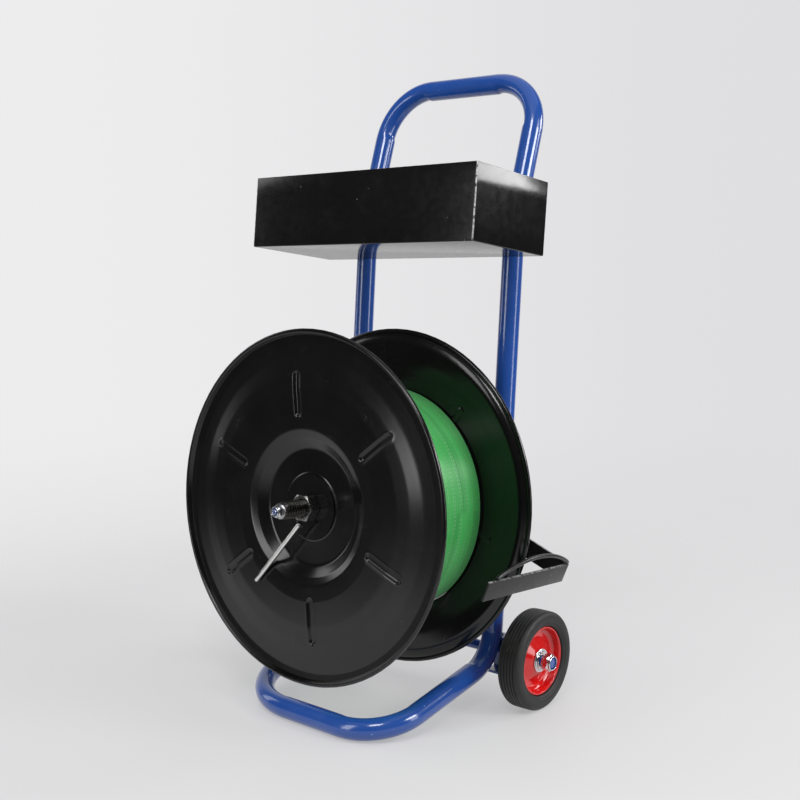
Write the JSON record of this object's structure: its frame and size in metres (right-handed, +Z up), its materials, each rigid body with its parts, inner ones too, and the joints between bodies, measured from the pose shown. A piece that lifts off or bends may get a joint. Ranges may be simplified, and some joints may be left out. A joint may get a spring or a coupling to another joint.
{
  "type": "strapping dispenser cart",
  "caption": "Two-wheel tubular cart that carries a coil of plastic strapping on a clamped turning reel, with a tool tray under the handle and a strap guide at the side.",
  "frame": {"origin": "centre of the bounding box's bottom face, on the floor that the tyres and the foot loop stand on", "axes": "+Z up; -Y forward, the way the front reel disc and the clamp nut face; +X to the viewer's right when the cart is seen from the front, the side with the strap guide"},
  "size_m": [0.544, 0.4484, 0.9643],
  "materials": {
    "blue_paint": "gloss powder coat",
    "black_paint": "semi-gloss powder coat",
    "black_bar": "satin paint",
    "dark_steel": "oiled dark steel",
    "zinc": "bright zinc plate",
    "strap_green": "glossy ribbed polypropylene strap",
    "board": "matte wound paperboard",
    "rubber": "matte solid rubber",
    "red_paint": "gloss paint"
  },
  "bodies": {
    "frame": {"handle_loop": "blue_paint", "upright_left": "blue_paint", "upright_right": "blue_paint", "foot_loop": "blue_paint", "reel_crossbar": "blue_paint", "reel_stud": "blue_paint", "stud_washer": "zinc", "stud_locknut": "zinc", "tool_tray": "black_paint", "guide_bar": "black_bar", "guide_rod": "black_bar", "wheel_axle": "blue_paint", "axle_channel_left": "blue_paint", "axle_channel_right": "blue_paint", "wheel_washer_left": "zinc", "wheel_washer_right": "zinc", "wheel_locknut_left": "zinc", "wheel_locknut_right": "zinc"},
    "reel": {"spindle_sleeve": "dark_steel", "rear_disc": "black_paint", "rear_hub_plate": "black_paint", "strap_core": "board", "strap_coil": "strap_green"},
    "front_flange": {"front_disc": "black_paint", "pressure_plate": "black_paint"},
    "clamp": {"clamp_nut": "dark_steel", "clamp_lever": "zinc"},
    "wheel_left": {"tyre_left": "rubber", "rim_left": "red_paint", "wheel_bearing_left": "zinc"},
    "wheel_right": {"tyre_right": "rubber", "rim_right": "red_paint", "wheel_bearing_right": "zinc"}
  },
  "joints": [
    {"name": "reel_spin", "type": "hinge", "parent": "frame", "child": "reel", "pos_m": [-0.01379, -0.06725, 0.31701], "axis": [0, -0.9985, 0.0545], "continuous": true},
    {"name": "flange_release", "type": "slide", "parent": "reel", "child": "front_flange", "axis": [0, -0.9985, 0.0545], "range_m": [0, 0.0201]},
    {"name": "clamp_turn", "type": "hinge", "parent": "front_flange", "child": "clamp", "pos_m": [-0.01379, -0.1621, 0.32218], "axis": [0, -0.9985, 0.0545], "range_deg": [0, 1440]},
    {"name": "wheel_left_spin", "type": "hinge", "parent": "frame", "child": "wheel_left", "pos_m": [-0.22929, 0.11267, 0.0751], "axis": [1, 0, 0], "continuous": true},
    {"name": "wheel_right_spin", "type": "hinge", "parent": "frame", "child": "wheel_right", "pos_m": [0.20171, 0.11267, 0.0751], "axis": [1, 0, 0], "continuous": true}
  ],
  "couplings": [
    {"joint": "flange_release", "follows": "clamp_turn", "m_per_rad": 0.00079577}
  ]
}
